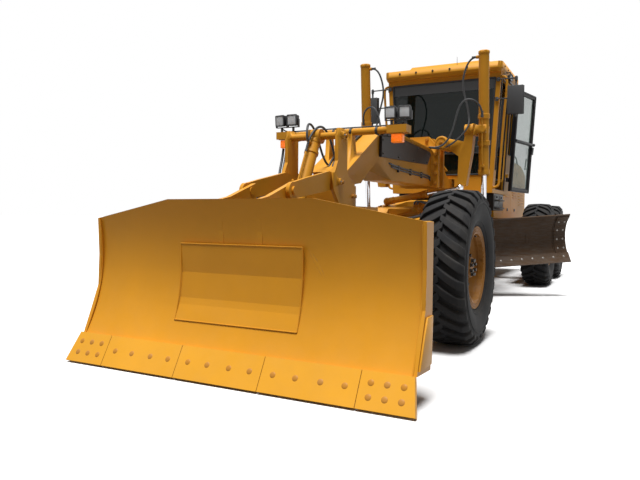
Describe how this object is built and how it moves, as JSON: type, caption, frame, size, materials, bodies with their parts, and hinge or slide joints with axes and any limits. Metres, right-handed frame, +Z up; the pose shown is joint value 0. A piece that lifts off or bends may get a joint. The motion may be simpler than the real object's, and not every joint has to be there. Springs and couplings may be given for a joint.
{
  "type": "motor grader",
  "caption": "Articulated motor grader with cab, front push blade on a parallel linkage, drawbar, toothed circle and a curved side-shifting moldboard.",
  "frame": {"origin": "on the ground under the middle of the machine's outline", "axes": "+X is the machine's left side, -Y its front, +Z up"},
  "size_m": [3.2124, 10.2519, 3.326],
  "materials": {
    "machine_paint": "satin construction yellow",
    "black_paint": "satin black",
    "blade_steel": "worn yellow paint on steel",
    "bare_steel": "bare worn steel",
    "chrome_rod": "hard chrome",
    "tyre": "rubber",
    "glass": "green tinted",
    "black_plastic": "matte",
    "seat_fabric": "woven",
    "cast_iron": "dark cast iron"
  },
  "bodies": {
    "front_machine": {"cab_glass": "glass", "cab_roof": "machine_paint", "cab_shell": "machine_paint", "console": "black_plastic", "front_axle": "machine_paint", "front_frame": "machine_paint", "front_mount": "machine_paint", "lamps": "black_plastic", "lift_arms": "machine_paint", "mirrors": "black_plastic", "seat": "seat_fabric", "service_boxes": "machine_paint", "side_panels": "black_paint"},
    "wheel_front_left": {"tyre_front_left": "tyre", "rim_front_left": "machine_paint"},
    "wheel_mid_left": {"tyre_mid_left": "tyre", "rim_mid_left": "machine_paint"},
    "wheel_rear_left": {"tyre_rear_left": "tyre", "rim_rear_left": "machine_paint"},
    "wheel_front_right": {"tyre_front_right": "tyre", "rim_front_right": "machine_paint"},
    "wheel_mid_right": {"tyre_mid_right": "tyre", "rim_mid_right": "machine_paint"},
    "wheel_rear_right": {"tyre_rear_right": "tyre", "rim_rear_right": "machine_paint"},
    "lean_left": {"lean_bracket_left": "machine_paint"},
    "lean_right": {"lean_bracket_right": "machine_paint"},
    "lean_bar": {"lean_bar": "machine_paint"},
    "knuckle_left": {"knuckle_left": "machine_paint"},
    "knuckle_right": {"knuckle_right": "machine_paint"},
    "tie_rod_stud": {"tie_rod_stud": "bare_steel"},
    "tie_rod": {"tie_rod": "machine_paint"},
    "door_left": {"door_left": "machine_paint", "door_left_glass": "glass"},
    "door_right": {"door_right": "machine_paint", "door_right_glass": "glass"},
    "drawbar": {"drawbar": "machine_paint"},
    "lift_barrel_left": {"lift_barrel_left": "machine_paint"},
    "lift_rod_left": {"lift_rod_left": "chrome_rod"},
    "lift_barrel_right": {"lift_barrel_right": "machine_paint"},
    "lift_rod_right": {"lift_rod_right": "chrome_rod"},
    "shift_barrel": {"shift_barrel": "machine_paint"},
    "shift_rod": {"shift_rod": "chrome_rod"},
    "circle": {"circle": "machine_paint"},
    "blade_bracket": {"blade_bracket": "machine_paint"},
    "moldboard": {"moldboard": "blade_steel", "cutting_edge": "bare_steel"},
    "front_lower_arms": {"front_lower_arms": "machine_paint"},
    "front_upper_links": {"front_upper_links": "machine_paint"},
    "front_blade": {"front_blade": "machine_paint", "front_edges": "machine_paint"},
    "front_lift_barrel": {"front_lift_barrel": "machine_paint"},
    "front_lift_rod": {"front_lift_rod": "chrome_rod"},
    "rear_machine": {"rear_frame": "machine_paint", "tandem_cases": "machine_paint", "engine_hood": "machine_paint", "engine_block": "cast_iron", "exhaust": "black_paint"}
  },
  "joints": [
    {"name": "articulation", "type": "hinge", "parent": "front_machine", "child": "rear_machine", "pos_m": [0, 1.37, 1], "axis": [0, 0, 1], "range_deg": [-20, 20]},
    {"name": "wheel_front_left", "type": "hinge", "parent": "knuckle_left", "child": "wheel_front_left", "pos_m": [1.0325, -2.98, 0.675], "axis": [1, 0, 0], "continuous": true},
    {"name": "wheel_mid_left", "type": "hinge", "parent": "rear_machine", "child": "wheel_mid_left", "pos_m": [1.0325, 2.345, 0.675], "axis": [1, 0, 0], "continuous": true},
    {"name": "wheel_rear_left", "type": "hinge", "parent": "rear_machine", "child": "wheel_rear_left", "pos_m": [1.0325, 3.867, 0.675], "axis": [1, 0, 0], "continuous": true},
    {"name": "wheel_front_right", "type": "hinge", "parent": "knuckle_right", "child": "wheel_front_right", "pos_m": [-1.0325, -2.98, 0.675], "axis": [1, 0, 0], "continuous": true},
    {"name": "wheel_mid_right", "type": "hinge", "parent": "rear_machine", "child": "wheel_mid_right", "pos_m": [-1.0325, 2.345, 0.675], "axis": [1, 0, 0], "continuous": true},
    {"name": "wheel_rear_right", "type": "hinge", "parent": "rear_machine", "child": "wheel_rear_right", "pos_m": [-1.0325, 3.867, 0.675], "axis": [1, 0, 0], "continuous": true},
    {"name": "wheel_lean", "type": "hinge", "parent": "front_machine", "child": "lean_left", "pos_m": [0.64, -2.98, 0.6], "axis": [0, 1, 0], "range_deg": [-18, 18]},
    {"name": "wheel_lean_right", "type": "hinge", "parent": "front_machine", "child": "lean_right", "pos_m": [-0.64, -2.98, 0.6], "axis": [0, 1, 0], "range_deg": [-18, 18]},
    {"name": "lean_bar_pivot", "type": "hinge", "parent": "lean_left", "child": "lean_bar", "pos_m": [0.64, -2.98, 1.02], "axis": [0, 1, 0], "range_deg": [-18, 18]},
    {"name": "steering", "type": "hinge", "parent": "lean_left", "child": "knuckle_left", "pos_m": [0.8, -2.98, 0.675], "axis": [0, 0, 1], "range_deg": [-47.5, 47.5]},
    {"name": "steering_right", "type": "hinge", "parent": "lean_right", "child": "knuckle_right", "pos_m": [-0.8, -2.98, 0.675], "axis": [0, 0, 1], "range_deg": [-47.5, 47.5]},
    {"name": "tie_rod_swivel", "type": "hinge", "parent": "knuckle_left", "child": "tie_rod_stud", "pos_m": [0.72, -2.695, 0.428], "axis": [0, 0, 1], "range_deg": [-53, 53]},
    {"name": "tie_rod_tilt", "type": "hinge", "parent": "tie_rod_stud", "child": "tie_rod", "pos_m": [0.72, -2.695, 0.428], "axis": [0, 1, 0], "range_deg": [-18, 18]},
    {"name": "door_left", "type": "hinge", "parent": "front_machine", "child": "door_left", "pos_m": [0.73879, 0.924, 1.5], "axis": [0.0558, 0, 0.9984], "range_deg": [-166.5, 0]},
    {"name": "door_right", "type": "hinge", "parent": "front_machine", "child": "door_right", "pos_m": [-0.73879, 0.924, 1.5], "axis": [-0.0558, 0, 0.9984], "range_deg": [-166.5, 0]},
    {"name": "blade_lift", "type": "hinge", "parent": "front_machine", "child": "drawbar", "pos_m": [0, -2.595, 0.924], "axis": [1, 0, 0], "range_deg": [-33, 0]},
    {"name": "lift_cylinder_left", "type": "hinge", "parent": "front_machine", "child": "lift_barrel_left", "pos_m": [0.77, -0.795, 2.175], "axis": [-1, 0, 0], "range_deg": [0, 6.86]},
    {"name": "lift_rod_left", "type": "slide", "parent": "lift_barrel_left", "child": "lift_rod_left", "axis": [0, 0.0805, -0.9968], "range_m": [0, 1.0647]},
    {"name": "lift_cylinder_right", "type": "hinge", "parent": "front_machine", "child": "lift_barrel_right", "pos_m": [-0.77, -0.795, 2.175], "axis": [-1, 0, 0], "range_deg": [0, 6.86]},
    {"name": "lift_rod_right", "type": "slide", "parent": "lift_barrel_right", "child": "lift_rod_right", "axis": [0, 0.0805, -0.9968], "range_m": [0, 1.0647]},
    {"name": "centre_shift_cylinder", "type": "hinge", "parent": "drawbar", "child": "shift_barrel", "pos_m": [-0.52, -0.65224, 1.31398], "axis": [-0.1259, -0.817, -0.5627], "range_deg": [0, 35.73]},
    {"name": "centre_shift_rod", "type": "slide", "parent": "shift_barrel", "child": "shift_rod", "axis": [0.9584, -0.2467, 0.1438], "range_m": [0, 0.57027]},
    {"name": "circle_turn", "type": "hinge", "parent": "drawbar", "child": "circle", "pos_m": [0, -0.4, 1.1], "axis": [0, -0.1392, 0.9903], "range_deg": [-92, 28]},
    {"name": "blade_tip", "type": "hinge", "parent": "circle", "child": "blade_bracket", "pos_m": [-0.23316, 0.05649, 0.53301], "axis": [0.848, 0.5248, 0.0738], "range_deg": [-5, 40]},
    {"name": "side_shift", "type": "slide", "parent": "blade_bracket", "child": "moldboard", "axis": [0.848, 0.5248, 0.0738], "range_m": [-0.86, 0.31]},
    {"name": "front_lift", "type": "hinge", "parent": "front_machine", "child": "front_lower_arms", "pos_m": [0, -3.74, 0.74], "axis": [1, 0, 0], "range_deg": [-48, 8]},
    {"name": "front_upper", "type": "hinge", "parent": "front_machine", "child": "front_upper_links", "pos_m": [0, -3.78, 1.39], "axis": [1, 0, 0], "range_deg": [-48, 8]},
    {"name": "front_blade_pivot", "type": "hinge", "parent": "front_lower_arms", "child": "front_blade", "pos_m": [0, -4.42, 0.64], "axis": [1, 0, 0], "range_deg": [-8, 48]},
    {"name": "front_lift_cylinder", "type": "hinge", "parent": "front_machine", "child": "front_lift_barrel", "pos_m": [0, -3.72, 1.775], "axis": [-1, 0, 0], "range_deg": [-1.02, 6.12]},
    {"name": "front_lift_rod", "type": "slide", "parent": "front_lift_barrel", "child": "front_lift_rod", "axis": [0, -0.4514, -0.8923], "range_m": [-0.43423, 0.07246]}
  ],
  "couplings": [
    {"joint": "wheel_lean_right", "follows": "wheel_lean", "ratio": 1},
    {"joint": "lean_bar_pivot", "follows": "wheel_lean", "ratio": -1},
    {"joint": "steering_right", "follows": "steering", "ratio": 1},
    {"joint": "tie_rod_swivel", "follows": "steering", "ratio": -1.0989},
    {"joint": "tie_rod_tilt", "follows": "wheel_lean", "ratio": -0.89069},
    {"joint": "lift_cylinder_left", "follows": "blade_lift", "ratio": -0.20774},
    {"joint": "lift_rod_left", "follows": "blade_lift", "m_per_rad": -1.8484},
    {"joint": "lift_cylinder_right", "follows": "blade_lift", "ratio": -0.20774},
    {"joint": "lift_rod_right", "follows": "blade_lift", "m_per_rad": -1.8484},
    {"joint": "centre_shift_cylinder", "follows": "blade_lift", "ratio": -1.0828},
    {"joint": "centre_shift_rod", "follows": "blade_lift", "m_per_rad": -0.98996},
    {"joint": "front_upper", "follows": "front_lift", "ratio": 1},
    {"joint": "front_blade_pivot", "follows": "front_lift", "ratio": -1},
    {"joint": "front_lift_cylinder", "follows": "front_lift", "ratio": -0.1274},
    {"joint": "front_lift_rod", "follows": "front_lift", "m_per_rad": 0.51821}
  ]
}
